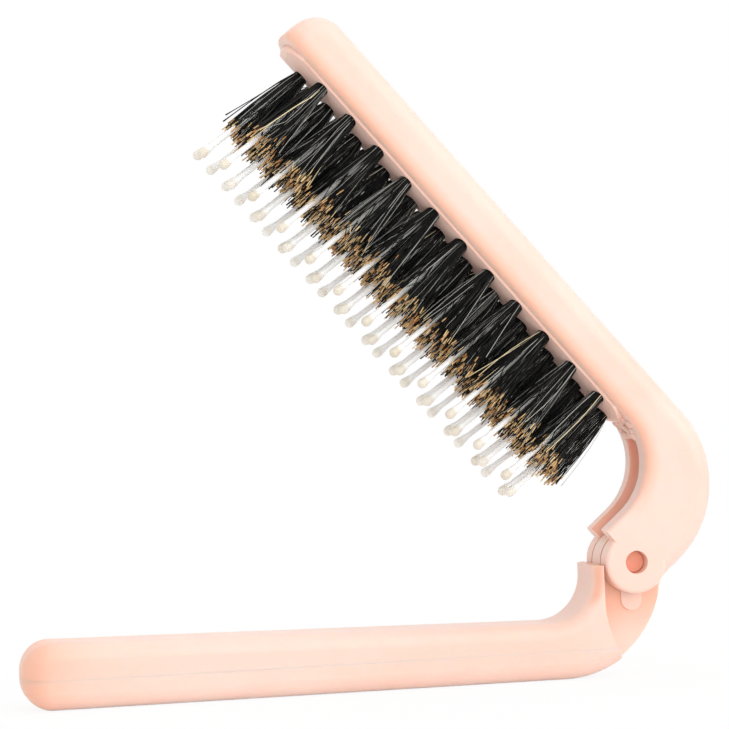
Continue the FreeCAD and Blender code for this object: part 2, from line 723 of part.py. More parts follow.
# Handle: two welded half shells; the upper one carries the arm, the tongue and its ribs
def handle_outline(body):
    """Side view about the hinge axis: the free end lies to the left, the arm stands at the right."""
    reach, back = dim("handle_reach"), -dim("hinge_height")
    elbow, edge_x = value_of(ELBOW_RADIUS), dim("tongue_radius")
    arm_x, arm_z, arm = -dim("arm_reach"), -dim("arm_drop"), value_of(ARM_INNER_RADIUS)
    end = value_of(END_RADIUS)
    bar_top, end_top = back + dim("bar_thickness"), back + dim("end_thickness")
    fall = math.degrees(math.atan2(bar_top - end_top, reach + arm_x - arm))
    sketch = new_sketch(body, "handle_outline", "XZ_Plane")
    back_line = line(sketch, (end - reach, back), (edge_x - elbow, back))
    elbow_arc = arc(sketch, (edge_x - elbow, back + elbow), elbow, 270, 360)
    edge_line = line(sketch, (edge_x, back + elbow), (edge_x, arm_z))
    arm_top = line(sketch, (edge_x, arm_z), (arm_x, arm_z))
    arm_line = line(sketch, (arm_x, arm_z), (arm_x, bar_top + arm))
    arm_arc = arc(sketch, (arm_x - arm, bar_top + arm), arm, 270 + fall, 360)
    top_line = line(sketch, (arm_x - arm, bar_top), (end - reach, end_top))
    high_end = arc(sketch, (end - reach, end_top - end), end, 90, 180)
    end_line = line(sketch, (-reach, end_top - end), (-reach, back + end))
    low_end = arc(sketch, (end - reach, back + end), end, 180, 270)
    join(sketch, "Coincident", (edge_line, 2), (arm_top, 1), (arm_top, 2), (arm_line, 1))
    join(sketch, "Tangent", (back_line, 2), (elbow_arc, 1), (elbow_arc, 2), (edge_line, 1),
         (arm_line, 2), (arm_arc, 2), (arm_arc, 1), (top_line, 1), (top_line, 2), (high_end, 1),
         (high_end, 2), (end_line, 1), (end_line, 2), (low_end, 1), (low_end, 2), (back_line, 1))
    straight(sketch, "Horizontal", back_line, arm_top)
    straight(sketch, "Vertical", edge_line, arm_line, end_line)
    size(sketch, "Radius", elbow_arc, by=ELBOW_RADIUS)
    size(sketch, "Radius", arm_arc, by=ARM_INNER_RADIUS)
    size(sketch, "Radius", high_end, by=END_RADIUS)
    size(sketch, "Radius", low_end, by=END_RADIUS)
    right_of_origin(sketch, edge_line, 1, by="dims.tongue_radius")
    left_of_origin(sketch, arm_line, 1, by="dims.arm_reach")
    left_of_origin(sketch, end_line, 1, by="dims.handle_reach")
    below_origin(sketch, back_line, 1, by="dims.hinge_height")
    below_origin(sketch, arm_top, 1, by="dims.arm_drop")
    size(sketch, "DistanceY", back_line, 1, top_line, 2, by="dims.end_thickness")
    size(sketch, "DistanceY", back_line, 2, top_line, 1, by="dims.bar_thickness")
    return sketch


def seat_outline(body, name, offset):
    """Side view of the shoulder seat: what is cleared beside the tongue for the ears to turn in."""
    neck_x, neck_z = value_of(NECK_CENTRE_X), -value_of(NECK_CENTRE_DROP)
    wall_x, shoulder, top = -value_of(SHOULDER_X), value_of(SHOULDER_RADIUS), dim("boss_radius")
    sketch = new_sketch(body, name, "XZ_Plane", offset)
    seat_arc = arc(sketch, (neck_x, neck_z), shoulder, 180, 270)
    far_line = line(sketch, (neck_x, neck_z - shoulder), (neck_x, top))
    top_line = line(sketch, (neck_x, top), (wall_x, top))
    seat_line = line(sketch, (wall_x, top), (wall_x, neck_z))
    join(sketch, "Coincident", (seat_arc, 2), (far_line, 1), (far_line, 2), (top_line, 1),
         (top_line, 2), (seat_line, 1))
    join(sketch, "Tangent", (seat_line, 2), (seat_arc, 1))
    straight(sketch, "Horizontal", top_line)
    straight(sketch, "Vertical", far_line, seat_line)
    size(sketch, "Radius", seat_arc, by=SHOULDER_RADIUS)
    right_of_origin(sketch, far_line, 1, by=NECK_CENTRE_X)
    left_of_origin(sketch, seat_line, 1, by=SHOULDER_X)
    below_origin(sketch, seat_arc, 3, by=NECK_CENTRE_DROP)
    above_origin(sketch, top_line, 1, by="dims.boss_radius")
    return sketch


def nose_outline(body):
    """Side view of the tongue's round end on top of the arm."""
    radius, base_z = dim("tongue_radius"), -2 * dim("arm_drop")
    sketch = new_sketch(body, "nose_outline", "XZ_Plane")
    edge = line(sketch, (radius, base_z), (radius, 0))
    nose = arc(sketch, (0, 0), radius, 0, 180)
    root = line(sketch, (-radius, 0), (-radius, base_z))
    base = line(sketch, (-radius, base_z), (radius, base_z))
    join(sketch, "Coincident", (root, 2), (base, 1), (base, 2), (edge, 1), (nose, 3), ORIGIN)
    join(sketch, "Tangent", (edge, 2), (nose, 1), (nose, 2), (root, 1))
    straight(sketch, "Vertical", edge, root)
    straight(sketch, "Horizontal", base)
    size(sketch, "Radius", nose, by="dims.tongue_radius")
    below_origin(sketch, base, 1, by="2 * dims.arm_drop")
    return sketch


def rib_outline(body):
    """Upright stadium below the hinge axis."""
    half = dim("rib_width") / 2
    high, low = -dim("rib_near"), -(dim("rib_far") - half)
    sketch = new_sketch(body, "rib_outline", "XZ_Plane")
    right = line(sketch, (half, low), (half, high))
    top = arc(sketch, (0, high), half, 0, 180)
    left = line(sketch, (-half, high), (-half, low))
    foot = arc(sketch, (0, low), half, 180, 360)
    loop = [right, top, left, foot]
    for first, second in zip(loop, loop[1:] + loop[:1]):
        join(sketch, "Tangent", (first, 2), (second, 1))
    on_upright_axis(sketch, (top, 3))
    straight(sketch, "Vertical", right, left)
    size(sketch, "Radius", top, by="dims.rib_width / 2")
    below_origin(sketch, top, 3, by="dims.rib_near")
    below_origin(sketch, foot, 3, by="dims.rib_far - dims.rib_width / 2")
    return sketch


def peg_sketch(body, name, radius, offset):
    """Circles spread evenly along the cavity, one for each peg."""
    sketch = new_sketch(body, name, "XY_Plane", offset)
    count = int(dim("peg_count"))
    for step in range(1, count + 1):
        place = f"({CAVITY_ARM_END} + ({CAVITY_FREE_END} - {CAVITY_ARM_END}) * {step} / {count + 1})"
        ring = circle(sketch, (-value_of(place), 0), value_of(radius))
        on_level_axis(sketch, (ring, 3))
        left_of_origin(sketch, ring, 3, by=place)
        size(sketch, "Radius", ring, by=radius)
    return sketch


def handle_blank(label):
    """Whole outside of the handle bar with its arm, before it is parted at the seam."""
    form = new_body(f"{label}_form")
    half, end = dim("brush_width") / 2, value_of(END_RADIUS)
    end_round = min(end - dim("end_margin"), half - dim("end_flat"))
    pad(form, handle_outline(form), "handle_block", "dims.brush_width", midplane=True)

    def edge_radius(point):
        if near(point.x, -dim("handle_reach")):
            return end_round
        on_back = near(point.z, -dim("hinge_height")) or near(point.x, dim("tongue_radius"))
        return dim("handle_back_round") if on_back else dim("handle_top_round")

    rounded = graded_fillet(form, f"{label}_edges", edge_radius,
                            lambda p: near(abs(p.y), half) and not near(p.z, -dim("arm_drop")))
    body = body_on(rounded, label)
    near_seat = seat_outline(body, "near_seat", "dims.tongue_thickness / 2")
    pocket(body, near_seat, "near_seat_cut", "dims.brush_width", reverse=True)
    far_seat = seat_outline(body, "far_seat", "-dims.tongue_thickness / 2")
    pocket(body, far_seat, "far_seat_cut", "dims.brush_width")
    return body


def part_at_seam(body, name, keep_above):
    """Takes away one side of the seam plane."""
    sheet_edge = "dims.handle_reach * 2"
    sketch = rounded_rectangle(body, name, f"-{SEAM_DROP}", f"-{sheet_edge}", sheet_edge,
                               "dims.brush_width", "dims.cavity_round")
    pocket(body, sketch, f"{name}_cut", "dims.head_reach", reverse=not keep_above)


def cavity(body, name, depth, upwards):
    """Hollow between the seam and the outer wall, clear of the elbow."""
    sketch = rounded_rectangle(body, name, f"-{SEAM_DROP}", f"-{CAVITY_FREE_END}",
                               f"-{CAVITY_ARM_END}", CAVITY_HALF, "dims.cavity_round")
    pocket(body, sketch, f"{name}_cut", depth, reverse=upwards)


def make_upper_shell():
    body = handle_blank("handle_upper_shell")
    pad(body, nose_outline(body), "tongue_nose", "dims.tongue_thickness", midplane=True)
    pad(body, rib_outline(body), "tongue_ribs",
        "dims.tongue_thickness + 2 * dims.rib_height", midplane=True)
    hole = disc_sketch(body, "pin_bore_outline", "XZ_Plane",
                       "dims.pin_radius + dims.pin_running_gap")
    pocket(body, hole, "pin_bore", "dims.brush_width * 2", midplane=True)
    part_at_seam(body, "below_seam", keep_above=True)
    cavity(body, "upper_cavity", CAVITY_RISE, upwards=True)
    sockets = peg_sketch(body, "sockets", "dims.peg_radius + dims.peg_gap + dims.socket_wall",
                         f"-{SEAM_DROP}")
    pad(body, sockets, "peg_sockets", CAVITY_RISE)
    bores = peg_sketch(body, "socket_bores", "dims.peg_radius + dims.peg_gap", f"-{SEAM_DROP}")
    pocket(body, bores, "peg_bores", "dims.peg_engage + dims.peg_gap", reverse=True)
    body.Placement = handle_place
    return body


def make_lower_shell():
    body = handle_blank("handle_lower_shell")
    part_at_seam(body, "above_seam", keep_above=False)
    cavity(body, "lower_cavity", CAVITY_FALL, upwards=False)
    pegs = peg_sketch(body, "pegs", "dims.peg_radius", f"-{SEAM_DROP} - {CAVITY_FALL}")
    pad(body, pegs, "locating_pegs", f"{CAVITY_FALL} + dims.peg_engage")
    body.Placement = handle_place
    return body


# Hinge pin: plain pin pressed into both ears, with the tongue turning on it
def make_hinge_pin():
    body = new_body("hinge_pin")
    section = disc_sketch(body, "pin_section", "XZ_Plane", "dims.pin_radius")
    pad(body, section, "pin_rod", "dims.brush_width - 2 * dims.pin_recess", midplane=True)
    base = body.Tip
    chamfer = body.newObject("PartDesign::Chamfer", "pin_ends")
    half = dim("brush_width") / 2 - dim("pin_recess")
    rims = [f"Edge{index}" for index, edge in enumerate(base.Shape.Edges, start=1)
            if near(abs(edge.BoundBox.Center.y), half)]
    chamfer.Base = (base, rims)
    chamfer.setExpression("Size", "dims.pin_chamfer")
    body.Placement = handle_place
    return body


nodes = [make_upper_shell(), make_lower_shell(), make_hinge_pin(), make_head_shell(),
         make_bristle_plate()]
nodes += make_bristles()
doc.recompute()

for item in doc.Objects:
    if "Invalid" in item.State or "Error" in item.State:
        raise RuntimeError(f"{item.Name} did not build: {item.State}")
for node in nodes:
    if node.Shape.isNull() or not node.Shape.isValid():
        raise RuntimeError(f"{node.Label} has no valid shape")

os.makedirs("parts", exist_ok=True)
for node in nodes:
    node.Shape.exportStep(f"parts/{node.Label}.step")
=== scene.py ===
"""Looks of the folding travel brush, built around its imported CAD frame.

Metres, +Z up: the handle lies on the floor along X, the hinge axis runs along Y and the head stands
half open above the handle.
"""

import math

import bpy
import numpy as np
from mathutils import Matrix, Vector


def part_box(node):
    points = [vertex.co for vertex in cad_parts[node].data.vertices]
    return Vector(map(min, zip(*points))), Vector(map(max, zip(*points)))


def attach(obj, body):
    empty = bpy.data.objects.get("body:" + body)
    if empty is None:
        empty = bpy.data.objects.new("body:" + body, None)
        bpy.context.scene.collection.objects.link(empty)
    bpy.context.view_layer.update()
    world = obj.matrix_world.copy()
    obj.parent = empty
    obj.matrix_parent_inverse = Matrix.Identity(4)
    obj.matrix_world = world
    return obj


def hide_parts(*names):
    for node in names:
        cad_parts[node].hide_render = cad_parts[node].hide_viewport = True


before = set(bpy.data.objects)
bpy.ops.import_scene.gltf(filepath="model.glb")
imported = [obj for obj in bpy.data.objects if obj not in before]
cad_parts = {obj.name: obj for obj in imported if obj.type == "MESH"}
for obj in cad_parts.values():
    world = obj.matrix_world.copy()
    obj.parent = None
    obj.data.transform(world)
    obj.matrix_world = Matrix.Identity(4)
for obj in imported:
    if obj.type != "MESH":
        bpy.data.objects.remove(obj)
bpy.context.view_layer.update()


# Handle shells: an upper and a lower half of pale peach plastic, injection moulded and satin outside.
# They are welded along a flat seam; a paler colour along it is painted light that lifts the groove's
# shade. The plastic is slightly cloudy, so light goes some way in; the deeper orange at the free end,
# on the tongue's sides and along the arm's inner edge is painted shade.
MM = 0.001


class Wire:
    """A socket of a material; arithmetic on wires adds Math nodes to the same material."""

    def __init__(self, tree, socket):
        self.tree, self.socket = tree, socket

    def node(self, kind, settings=None, sockets=None, output=0):
        """New node: its settings are set first, then its sockets take values or wires."""
        made = self.tree.nodes.new("ShaderNode" + kind)
        for name, value in (settings or {}).items():
            setattr(made, name, value)
        for key, value in (sockets or {}).items():
            plug(self.tree, made.inputs[key], value)
        return Wire(self.tree, made.outputs[output])

    def math(self, operation, *others):
        """Math node that takes this wire first and the others after it."""
        return self.node("Math", {"operation": operation}, dict(enumerate((self, *others))))

    def __add__(self, other):
        return self.math("ADD", other)

    def __sub__(self, other):
        return self.math("SUBTRACT", other)

    def __rsub__(self, other):
        return self.node("Math", {"operation": "SUBTRACT"}, {0: other, 1: self})

    def __mul__(self, other):
        return self.math("MULTIPLY", other)

    __radd__, __rmul__ = __add__, __mul__

    def __abs__(self):
        return self.math("ABSOLUTE")

    def most(self, other):
        return self.math("MAXIMUM", other)

    def least(self, other):
        return self.math("MINIMUM", other)

    def hypot(self, other):
        return (self * self + other * other).math("SQRT")

    def rise(self, low, high):
        """0 below low, 1 above high, smooth between; falls instead where low is above high."""
        return self.node("MapRange", {"interpolation_type": "SMOOTHSTEP"}, {0: self, 1: low, 2: high})

    def blend(self, first, second):
        """Colour that goes from the first to the second as this wire goes from 0 to 1."""
        return self.node("Mix", {"data_type": "RGBA"}, {0: self, 6: first, 7: second}, output=2)

    def noise(self, size, detail):
        """Cloudy value around a half, with blotches of about this size in metres."""
        return self.node("TexNoise", {}, {"Vector": self, "Scale": 1 / size, "Detail": detail})

    def part(self, axis):
        """One coordinate of a vector."""
        return self.node("SeparateXYZ", {}, {0: self}, output="XYZ".index(axis))

    def dot(self, way):
        """How far a vector reaches along a fixed direction."""
        sockets = {0: self, 1: tuple(way)}
        return self.node("VectorMath", {"operation": "DOT_PRODUCT"}, sockets, output="Value")

    def bump(self, height, strength):
        """Normal of a surface raised by this wire times the height in metres."""
        return self.node("Bump", {}, {"Height": self, "Distance": height, "Strength": strength})


def plug(tree, socket, value):
    """Link a wire to a socket, or set its value; a colour of three gets a full alpha."""
    if isinstance(value, Wire):
        tree.links.new(value.socket, socket)
    elif hasattr(socket.default_value, "__len__") and len(value) < len(socket.default_value):
        socket.default_value = (*value, 1)
    else:
        socket.default_value = value


def srgb(red, green, blue):
    """Screen colour of 0 to 255 as linear light."""
    return tuple(((c / 255 + 0.055) / 1.055) ** 2.4 if c > 10 else c / 3294 for c in (red, green, blue))


def new_finish(name, source="Object"):
    """Empty material, its Principled shader's sockets and its coordinates as a wire."""
    material = bpy.data.materials.new(name)
    material.use_nodes = True
    tree = material.node_tree
    shader = tree.nodes["Principled BSDF"].inputs
    start = tree.nodes.new("ShaderNodeTexCoord")
    return material, shader, Wire(tree, start.outputs[source])


def dress(node, material):
    """Put a material on a CAD node in place of its plain one."""
    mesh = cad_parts[node].data
    mesh.materials.clear()
    mesh.materials.append(material)


PEACH, PEACH_DEEP = srgb(248, 213, 199), srgb(246, 207, 191)
PEACH_SPECK, PEACH_SHADE_ORANGE, PEACH_SEAM_LIGHT = srgb(236, 190, 168), srgb(244, 176, 142), srgb(255, 226, 212)
CLOUD_SIZE, SPECK_SIZE, SHEEN_SIZE = 22 * MM, 1.6 * MM, 6 * MM
GRAIN_SIZE, GRAIN_HEIGHT = 0.35 * MM, 0.006 * MM


def peach_plastic(name, light=PEACH, deep=PEACH_DEEP, painted_shade=None, seam_light=None):
    """Satin peach: slow clouds of tone, rare specks and a fine moulded grain. The seam mask, made from
    the place, says where a paler colour is painted on as painted light, and the shade mask where a
    deeper orange is painted on as painted shade."""
    material, shader, place = new_finish(name)
    specks = place.noise(SPECK_SIZE, 2).rise(0.70, 0.76)
    colour = place.noise(CLOUD_SIZE, 3).rise(0.35, 0.7).blend(light, deep)
    colour = (specks * 0.12).blend(colour, PEACH_SPECK)
    if seam_light:
        colour = seam_light(place).blend(colour, PEACH_SEAM_LIGHT)
    if painted_shade:
        colour = painted_shade(place).blend(colour, PEACH_SHADE_ORANGE)
    plug(place.tree, shader["Base Color"], colour)
    plug(place.tree, shader["Roughness"], 0.32 + 0.12 * place.noise(SHEEN_SIZE, 3))
    plug(place.tree, shader["Normal"], place.noise(GRAIN_SIZE, 2).bump(GRAIN_HEIGHT, 0.5))
    shader["Subsurface Weight"].default_value = 0.5
    shader["Subsurface Radius"].default_value = (1.0, 0.42, 0.28)
    shader["Subsurface Scale"].default_value = 1.0 * MM
    shader["Coat Weight"].default_value = 0.12
    shader["Coat Roughness"].default_value = 0.4
    return material


FREE_END, END_FADE, END_SHADE = -66.47 * MM, 14 * MM, 0.65
BEND_RADIUS, BEND_X, BEND_Z = 8.5 * MM, 33.33 * MM, 19.25 * MM
ARM_ROOT, ARM_FADE, BAND_SHADE = 13 * MM, 3 * MM, 0.65
TONGUE_HALF, TONGUE_FRONT, TONGUE_BACK = 2.4 * MM, 43.9 * MM, 55.8 * MM
TONGUE_LOW, TONGUE_HIGH, TONGUE_EDGE, TONGUE_SHADE = 7 * MM, 15 * MM, 0.2 * MM, 0.6
SEAM_HEIGHT, SEAM_PAINTED_LIGHT = 5.6 * MM, 0.3


def handle_painted_shade(place):
    """Painted shade: deeper towards the rounded free end, which turns away from the light, on the
    tongue's two sides between its ribs, in the shade of the boss above, and in a band along the arm's
    inner edge,
    where its rounding turns into shade: a straight edge and an arc, so the way in is
    hypot(max(x - a, 0), max(b - z, 0)) - radius."""
    x, z = place.part("X"), place.part("Z")
    out = abs(place.part("Y")) - TONGUE_HALF
    side = out.rise(-0.1 * MM, -0.03 * MM) * out.rise(0.15 * MM, 0.05 * MM)
    side = side * z.rise(TONGUE_LOW, TONGUE_HIGH)
    side = side * x.rise(TONGUE_FRONT - TONGUE_EDGE, TONGUE_FRONT)
    side = side * x.rise(TONGUE_BACK, TONGUE_BACK - TONGUE_EDGE)
    inwards = (x - BEND_X).most(0.0).hypot((BEND_Z - z).most(0.0)) - BEND_RADIUS
    band = inwards.rise(2.6 * MM, 1.2 * MM) * inwards.rise(0.1 * MM, 1.0 * MM)
    band = band * z.rise(ARM_ROOT, ARM_ROOT + ARM_FADE)
    end = x.rise(FREE_END + END_FADE, FREE_END - 1 * MM)
    return (END_SHADE * end).most(BAND_SHADE * band).most(TONGUE_SHADE * side)


def handle_seam_painted_light(place):
    """Painted light: a narrow paler band along the seam, a plane at one height, that lifts the groove's
    shade.
    """
    return SEAM_PAINTED_LIGHT * abs(place.part("Z") - SEAM_HEIGHT).rise(0.3 * MM, 0.1 * MM)


handle_plastic = peach_plastic("handle_plastic", painted_shade=handle_painted_shade, seam_light=handle_seam_painted_light)
dress("handle_upper_shell", handle_plastic)
dress("handle_lower_shell", handle_plastic)


# Head shell and hinge pin: the head's back, crook neck and two ears are one moulding of the same peach.
# The inside of the neck's slot and a band along the thin rim are painted a deeper orange as painted
# shade.
# The pin is pressed through both ears; its ends sit deep in the round bosses, and its colour is painted
# deeper as painted shade of those recesses.
HINGE = np.array([50.328, 0, 21.75]) * MM
REST = math.radians(49)
ALONG = np.array([-math.cos(REST), 0, math.sin(REST)])
ACROSS = np.array([0.0, 1.0, 0.0])
OUT = np.array([-math.sin(REST), 0, -math.cos(REST)])
SLOT_HALF, SLOT_RADIUS, SLOT_CENTRE = 3.05 * MM, 18.65 * MM, (4.5 * MM, -2.4 * MM)
SLOT_PALE, SLOT_DEEP, SLOT_SHADE = 13 * MM, 6 * MM, 0.5
CROOK_RADIUS, CROOK_CENTRE = 12.6 * MM, (21.1 * MM, -4.8 * MM)
RIM_START, RIM_FULL, RIM_SHADE = -2 * MM, -16 * MM, 0.6
# Painted shade: the hinge pin's colours are deeper than the shell's, for the shade in the recesses
# around its ends.
HINGE_PIN_SHADED, HINGE_PIN_SHADED_DEEP = srgb(240, 166, 140), srgb(237, 158, 130)


def head_painted_shade(place):
    """Painted shade: the inside of the slot, a round cut about its centre, and a band that fades in
    from the edge. With x along the head and z towards the bristles, the edge is a straight rim that
    turns into the crook's arc, so the way in from it is hypot(min(x - a, 0), min(z - b, 0)) - radius."""
    x, z = (place.dot(way) - float(HINGE @ way) for way in (ALONG, OUT))
    from_centre = (x - SLOT_CENTRE[0]).hypot(z - SLOT_CENTRE[1])
    slot = abs(place.part("Y")).rise(SLOT_HALF + 0.02 * MM, SLOT_HALF)
    slot = slot * from_centre.rise(SLOT_RADIUS + 0.1 * MM, SLOT_RADIUS) * x.rise(SLOT_PALE, SLOT_DEEP)
    inwards = (x - CROOK_CENTRE[0]).least(0.0).hypot((z - CROOK_CENTRE[1]).least(0.0)) - CROOK_RADIUS
    rim = inwards.rise(3.4 * MM, 0.9 * MM) * inwards.rise(-0.2 * MM, 0.7 * MM)
    rim = rim * z.rise(RIM_START, RIM_FULL)
    return (SLOT_SHADE * slot).most(RIM_SHADE * rim)


dress("head_shell", peach_plastic("head_plastic", painted_shade=head_painted_shade))
dress("hinge_pin", peach_plastic("pin_plastic", light=HINGE_PIN_SHADED, deep=HINGE_PIN_SHADED_DEEP))


# Bristle plate: a separate beige moulding pressed into the head's tray, duller than the shells.
# Its face is domed across the brush and drilled for the tufts, and its side wall, in the crease against
# the rim, is painted a deeper tone as painted shade.
PLATE_HALF = float(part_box("bristle_plate")[1][1])
PLATE_LIGHT, PLATE_DEEP, PLATE_CREASE_SHADE = srgb(250, 214, 199), srgb(245, 204, 187), srgb(214, 160, 134)


def plate_plastic():
    """Matte beige with a soft mottle; the side wall, in the crease against the rim, is painted deeper
    as painted shade.
    """
    material, shader, place = new_finish("plate_plastic")
    colour = place.noise(9 * MM, 3).rise(0.3, 0.7).blend(PLATE_LIGHT, PLATE_DEEP)
    # Painted shade: a deeper tone on the side wall, in the crease against the shell's rim.
    wall = abs(place.part("Y")).rise(PLATE_HALF - 0.12 * MM, PLATE_HALF - 0.04 * MM)
    colour = (wall * 0.4).blend(colour, PLATE_CREASE_SHADE)
    plug(place.tree, shader["Base Color"], colour)
    plug(place.tree, shader["Roughness"], 0.45 + 0.12 * place.noise(4 * MM, 2))
    plug(place.tree, shader["Normal"], place.noise(0.4 * MM, 2).bump(0.012 * MM, 0.5))
    return material


plate_finish = plate_plastic()
dress("bristle_plate", plate_finish)


# Weld beads: drops of plate plastic squeezed out where the plate's neck end was welded to the shell.
# They set as flat uneven lumps across that end and keep the plate's finish.
BEAD_COUNT, BEAD_SIDES = 17, 8
BEAD_SPAN, BEAD_JITTER, BEAD_STRETCH, BEAD_WAVE = 4.6 * MM, 0.3 * MM, 1.3, 0.2
BEAD_NEAR, BEAD_FAR = 17.0 * MM, 20.8 * MM
BEAD_NARROW, BEAD_WIDE, BEAD_LOW, BEAD_HIGH = 0.45 * MM, 1.1 * MM, 0.3 * MM, 0.55 * MM
BEAD_CLIMB = np.radians(np.array([-35, 0, 25, 50, 70, 86]))


def put_mesh(name, points, faces, material, uv=None):
    """Mesh object at the origin from arrays of points and four-sided faces."""
    mesh = bpy.data.meshes.new(name)
    mesh.from_pydata(points.reshape(-1, 3), [], faces.tolist())
    mesh.polygons.foreach_set("use_smooth", np.ones(len(mesh.polygons), bool))
    if uv is not None:
        corner = np.empty(len(mesh.loops), int)
        mesh.loops.foreach_get("vertex_index", corner)
        layer = mesh.uv_layers.new(name="strand")
        layer.data.foreach_set("uv", uv.reshape(-1, 2)[corner].ravel().astype(np.float32))
    mesh.materials.append(material)
    made = bpy.data.objects.new(name, mesh)
    bpy.context.scene.collection.objects.link(made)
    return made


def turned_faces(count, rings, sides):
    """Faces of many round pieces: each ring's points join the next ring's, and a fan of four-sided
    faces closes each end. One piece is worked out, then copied with its point numbers moved on."""
    ring, side = np.meshgrid(np.arange(rings - 1), np.arange(sides), indexing="ij")
    here, beside = ring * sides + side, ring * sides + (side + 1) % sides
    wall = np.stack([here, beside, beside + sides, here + sides], -1).reshape(-1, 4)
    step = np.arange(1, sides - 1, 2)
    fan = np.stack([0 * step, step, step + 1, (step + 2) % sides], -1)
    one = np.concatenate([wall, fan[:, ::-1], fan + (rings - 1) * sides])
    return (one + (np.arange(count) * rings * sides)[:, None, None]).reshape(-1, 4)


def weld_beads(dice):
    """Flat drops: half an ellipse from the foot to the crown, carried round, with a wavy radius."""
    n = BEAD_COUNT
    across = np.linspace(-BEAD_SPAN, BEAD_SPAN, n) + dice.uniform(-BEAD_JITTER, BEAD_JITTER, n)
    along = dice.uniform(BEAD_NEAR, BEAD_FAR, n)
    fall = np.minimum(along - CROOK_CENTRE[0], 0)
    level = CROOK_CENTRE[1] - np.sqrt(CROOK_RADIUS ** 2 - fall ** 2)
    wide = dice.uniform(BEAD_NARROW, BEAD_WIDE, n)
    high = dice.uniform(BEAD_LOW, BEAD_HIGH, n)
    around = np.arange(BEAD_SIDES) * 2 * math.pi / BEAD_SIDES
    wavy = 1 + BEAD_WAVE * np.sin(2 * around + dice.uniform(0, 6, n)[:, None])
    spread = wide[:, None, None] * np.cos(BEAD_CLIMB)[:, None] * wavy[:, None, :]
    rise = level[:, None] + high[:, None] * np.sin(BEAD_CLIMB)
    forward = along[:, None, None] + BEAD_STRETCH * spread * np.cos(around)
    sideways = across[:, None, None] + spread * np.sin(around)
    return (HINGE + forward[..., None] * ALONG + sideways[..., None] * ACROSS
            + rise[:, :, None, None] * OUT)


bead_points = weld_beads(np.random.default_rng(3))
beads = put_mesh("weld_beads", bead_points, turned_faces(*bead_points.shape[:3]), plate_finish)
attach(beads, "head")


# Tuft anchors: flat strips cut from drawn metal, out of sight at the bottom of the tuft holes.
# Each is driven in across the fold of its tuft and grips the walls of the hole.
ANCHOR_DARK, ANCHOR_LIGHT = srgb(190, 190, 188), srgb(220, 219, 216)


def anchor_metal():
    """Drawn metal, mottled in tone and gloss."""
    material, shader, place = new_finish("anchor_metal")
    mottle = place.noise(0.5 * MM, 3)
    plug(place.tree, shader["Base Color"], mottle.blend(ANCHOR_DARK, ANCHOR_LIGHT))
    plug(place.tree, shader["Roughness"], 0.3 + 0.2 * mottle)
    shader["Metallic"].default_value = 1.0
    return material


dress("tuft_anchors", anchor_metal())


# Hair tufts: stiff natural bristle, black with cut golden tips, folded over an anchor in each hole.
# Two side columns lean outwards; the middle column stands upright, half a step along.
MIDDLE_COUNT, FIRST_TUFT, TUFT_PITCH = 12, 23.9 * MM, 7.86 * MM
SIDE_OFFSET, SIDE_LEAN = 4.1 * MM, math.radians(7.5)
PLATE_TOP, CROWN_RADIUS = -15.75 * MM, 14.46 * MM
TWIN_OFFSET, TWIN_LEAN, PIN_TILT = 0.68 * MM, math.radians(4.5), math.radians(5.2)


def seat(along, across, lean):
    """Point on the domed plate, and the axis there: outwards, turned sideways by the lean."""
    drop = CROWN_RADIUS - math.sqrt(CROWN_RADIUS ** 2 - across ** 2)
    point = HINGE + along * ALONG + across * ACROSS + (PLATE_TOP - drop) * OUT
    return point, math.cos(lean) * OUT + math.sin(lean) * ACROSS


def pin_seats(along, side):
    """Foot and axis of the pins in one tuft: an axis leans sideways and is tilted towards the tip."""
    seats = []
    for way in ((side,) if side else (-1, 1)):
        lean = way * (SIDE_LEAN if side else TWIN_LEAN)
        foot = seat(along, side * SIDE_OFFSET, 0)[0] + (0 if side else way * TWIN_OFFSET) * ACROSS
        upright = math.cos(PIN_TILT) * OUT + math.sin(PIN_TILT) * ALONG
        seats.append((foot, math.cos(lean) * upright + math.sin(lean) * ACROSS))
    return seats


def row_places():
    """For each row from the neck to the tip: how far along, and the sides of its tufts."""
    for step in range(2 * MIDDLE_COUNT - 1):
        yield FIRST_TUFT + step * TUFT_PITCH / 2, ((0,) if step % 2 == 0 else (-1, 1))


HAIR_COUNT, HAIR_SIDES, GOLDEN_TURN = 150, 4, 2.39996
HAIR_STATIONS, TIP_STATION, TIP_SWELL = np.array([0, 0.11, 0.3, 0.5, 0.7, 0.91, 1]), 0.91, 0.6
HAIR_RADIUS, HAIR_LENGTH, ROOT_SINK = 0.08 * MM, 16.3 * MM, 2.0 * MM
ROOT_RADIUS, TIP_RADIUS, PIN_CLEAR = 1.32 * MM, 3.8 * MM, 0.66 * MM
LENGTH_SPREAD, BOW_SPREAD, NEAR_LIMIT = 0.8 * MM, 0.2 * MM, 0.05 * MM
ODD_LENGTHS, ODD_SHARES = np.array([0, 1.2, -2.5]) * MM, (0.86, 0.08, 0.06)
PART_START, PART_RUN, CROSSING_SHARE = 0.3, 0.25, 0.1
STRAY_FROM, STRAY_REACH, STRAY_TONE, TONE_TOP = 0.992, 0.5, 0.99, 0.97
FLICKER_TURNS, FINE_FROM, FINE_SCALE, END_UNIT = 37, 0.82, 0.55, 20 * MM
MIDDLE_POWER, SIDE_POWER, SIDE_POWER_STEP = 0.42, 0.95, 0.22


